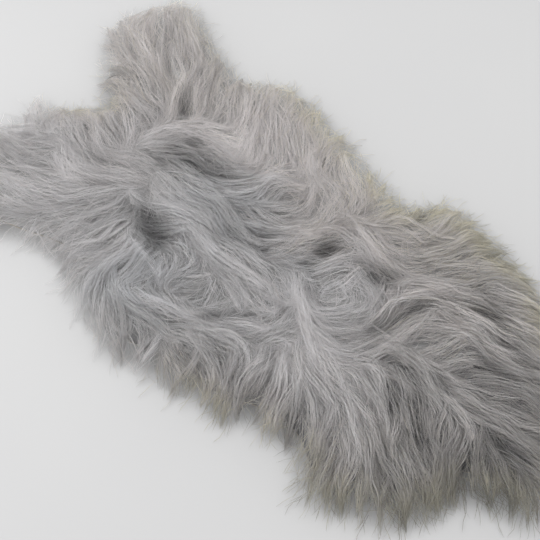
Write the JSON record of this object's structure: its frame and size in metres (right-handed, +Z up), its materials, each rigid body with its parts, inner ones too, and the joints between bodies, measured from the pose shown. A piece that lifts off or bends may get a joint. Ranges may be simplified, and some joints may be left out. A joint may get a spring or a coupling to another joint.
{
  "type": "sheepskin rug",
  "caption": "Natural-outline grey sheepskin rug with long wavy fleece combed in tufted locks over a flat tanned hide, laid flat as a floor rug or throw",
  "frame": {"origin": "centre of the rug's footprint, on the floor it lies on", "axes": "+Z up, +Y along the rug from its tail to its neck and front legs, +X across it"},
  "size_m": [0.64, 1.2, 0.0685],
  "materials": {
    "wool": "long wavy grey wool, soft sheen, darker at the roots and cream at some rim tips",
    "hide": "matt suede-like tanned hide on the underside"
  },
  "bodies": {
    "root": {"sheepskin": "wool"}
  },
  "joints": []
}
